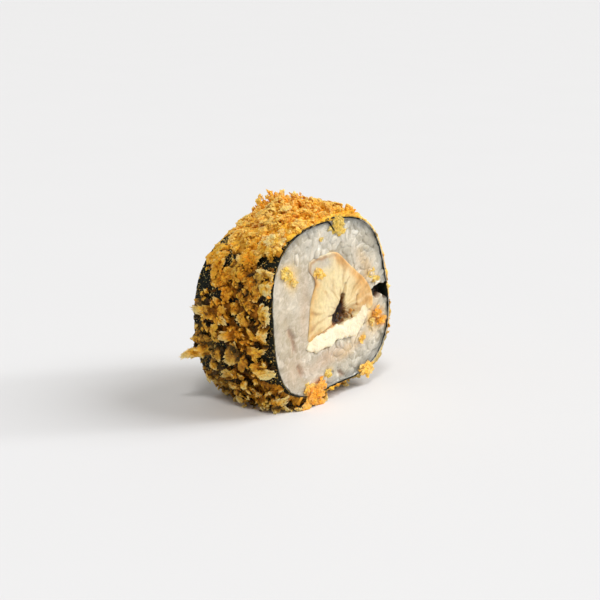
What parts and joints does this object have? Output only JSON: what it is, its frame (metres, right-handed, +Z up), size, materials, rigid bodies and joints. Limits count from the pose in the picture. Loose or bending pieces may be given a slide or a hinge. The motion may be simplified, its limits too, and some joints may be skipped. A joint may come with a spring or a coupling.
{
  "type": "tempura sushi roll",
  "caption": "Thick slice of fried sushi roll: panko-crumbed nori round sticky rice, with banana and a strip of cream cheese showing at both knife cuts.",
  "frame": {"origin": "middle of the base of the bounding box, on the surface that the slice stands on", "axes": "+Z up; Y along the roll's axis, through both knife cuts, with the best cut face looking along -Y; +X to the right of that face"},
  "size_m": [0.0582, 0.0276, 0.0569],
  "materials": {
    "fried_crumbs": "golden fried panko crumbs on dark nori, rough and slightly oily",
    "sushi_rice": "moist cooked rice, translucent and softly shiny",
    "banana": "soft cut banana, moist and slightly translucent",
    "cream_cheese": "dense off-white cream cheese, satin"
  },
  "bodies": {
    "root": {"crumbed_nori": "fried_crumbs", "rice": "sushi_rice", "banana": "banana", "cream_cheese": "cream_cheese"}
  },
  "joints": []
}
